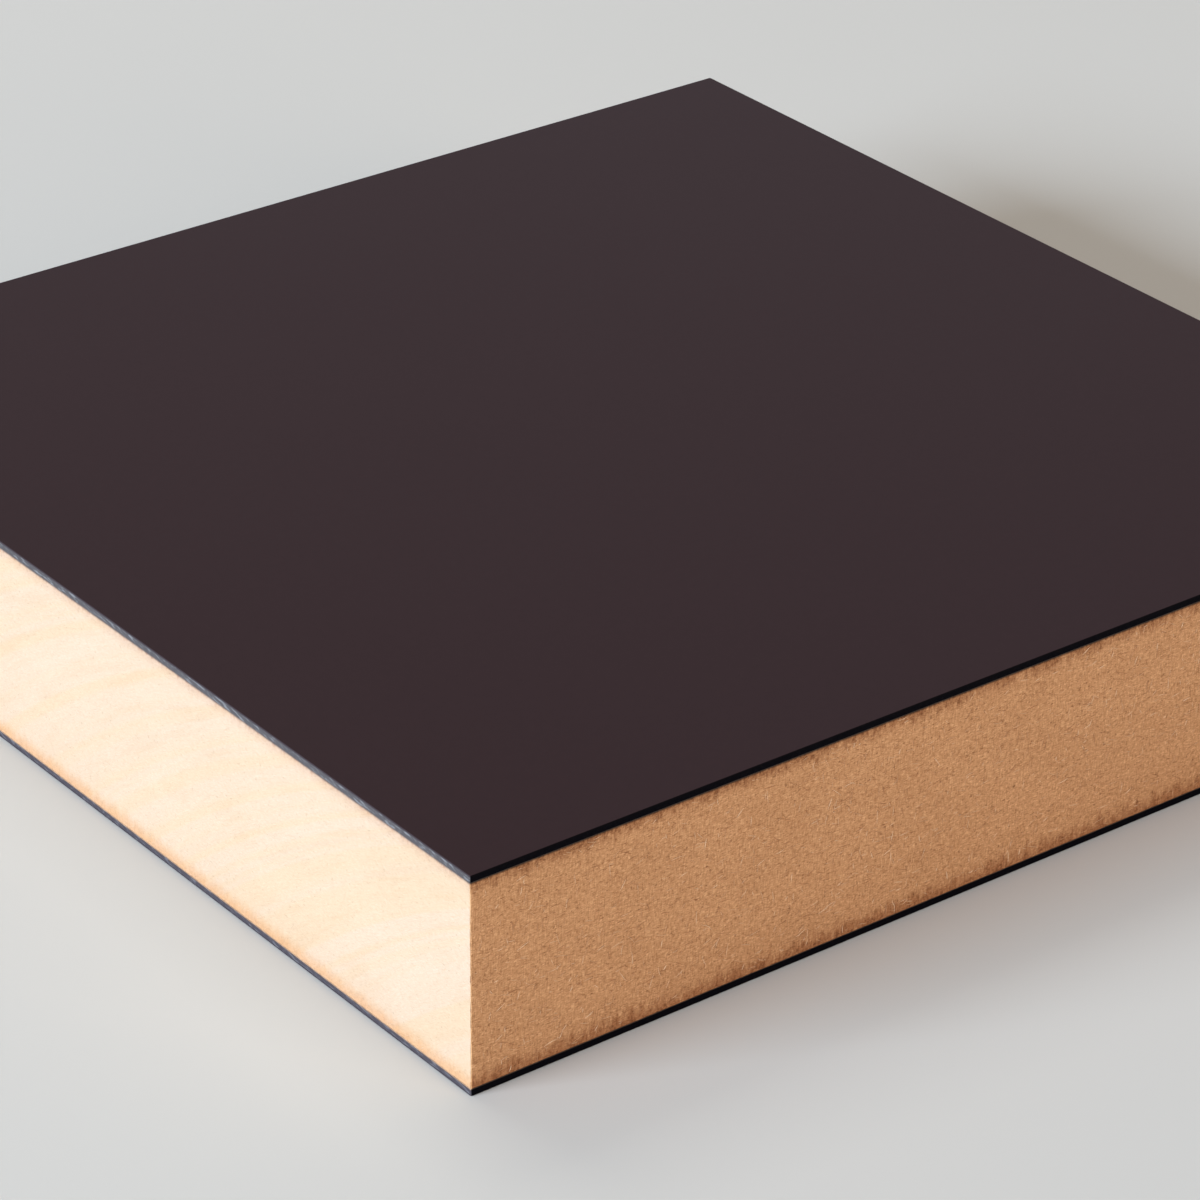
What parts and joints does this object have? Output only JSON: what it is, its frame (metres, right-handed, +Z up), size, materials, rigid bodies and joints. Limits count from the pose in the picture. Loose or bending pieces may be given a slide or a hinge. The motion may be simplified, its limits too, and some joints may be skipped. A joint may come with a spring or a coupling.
{
  "type": "laminated work slab",
  "caption": "Square free-standing work slab: MDF core faced on both sides with thin dark laminate, edges left as sawn; a flat, smooth surface to work leather on.",
  "frame": {"origin": "middle of the underside, on the surface that the slab lies on", "axes": "+Z up, out of the work face; +X along the front edge to the right; +Y from the front edge to the back edge"},
  "size_m": [0.15, 0.15, 0.0265],
  "materials": {
    "mdf": "sawn medium-density fibreboard, fibrous and matt",
    "dried_glue": "dried glue film, dark with sawdust",
    "black_backing": "sawn black phenolic paper",
    "dark_face": "smooth satin-matt laminate, very dark brown"
  },
  "bodies": {
    "root": {"bottom_laminate_face": "dark_face", "bottom_laminate_backing": "black_backing", "bottom_glue_line": "dried_glue", "mdf_core": "mdf", "top_glue_line": "dried_glue", "top_laminate_backing": "black_backing", "top_laminate_face": "dark_face"}
  },
  "joints": []
}
